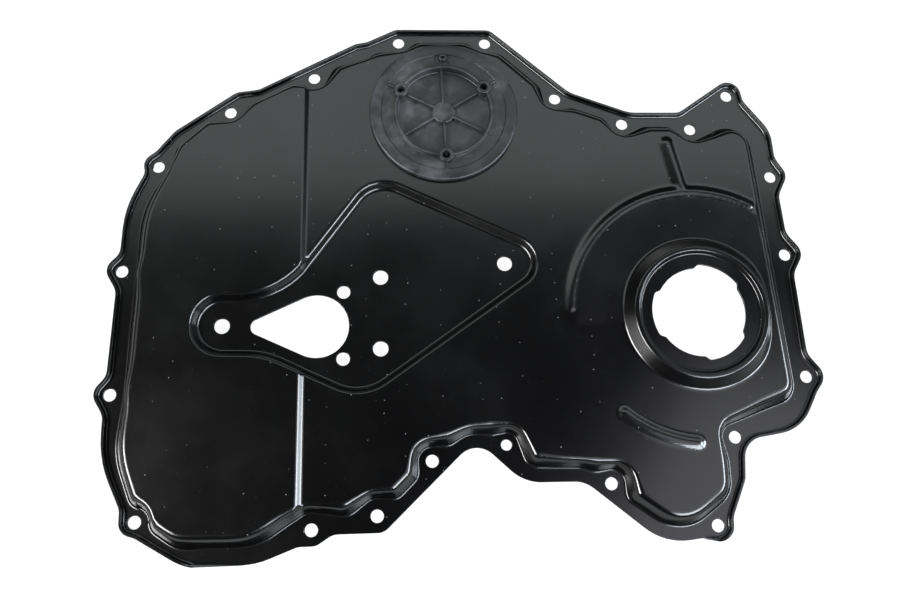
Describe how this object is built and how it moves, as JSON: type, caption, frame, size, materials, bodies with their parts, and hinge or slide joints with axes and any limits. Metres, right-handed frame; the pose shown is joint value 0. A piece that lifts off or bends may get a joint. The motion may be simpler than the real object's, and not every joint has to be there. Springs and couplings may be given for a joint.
{
  "type": "timing cover",
  "caption": "Pressed steel engine timing cover: bolt flange, drawn pan with a step, sunk recess with a drop-shaped opening, raised crank collar and a round locked access plug.",
  "frame": {"origin": "crank axis at the engine face of the flange", "axes": "+Z out of the engine along the crank axis, +X away from the sunk recess, +Y towards the access plug"},
  "size_m": [0.4067, 0.3156, 0.016],
  "materials": {
    "sheet": "gloss black",
    "plug": "matt moulded",
    "seal": "matt"
  },
  "bodies": {
    "root": {"cover": "sheet", "access_plug": "plug", "plug_seal": "seal"}
  },
  "joints": []
}
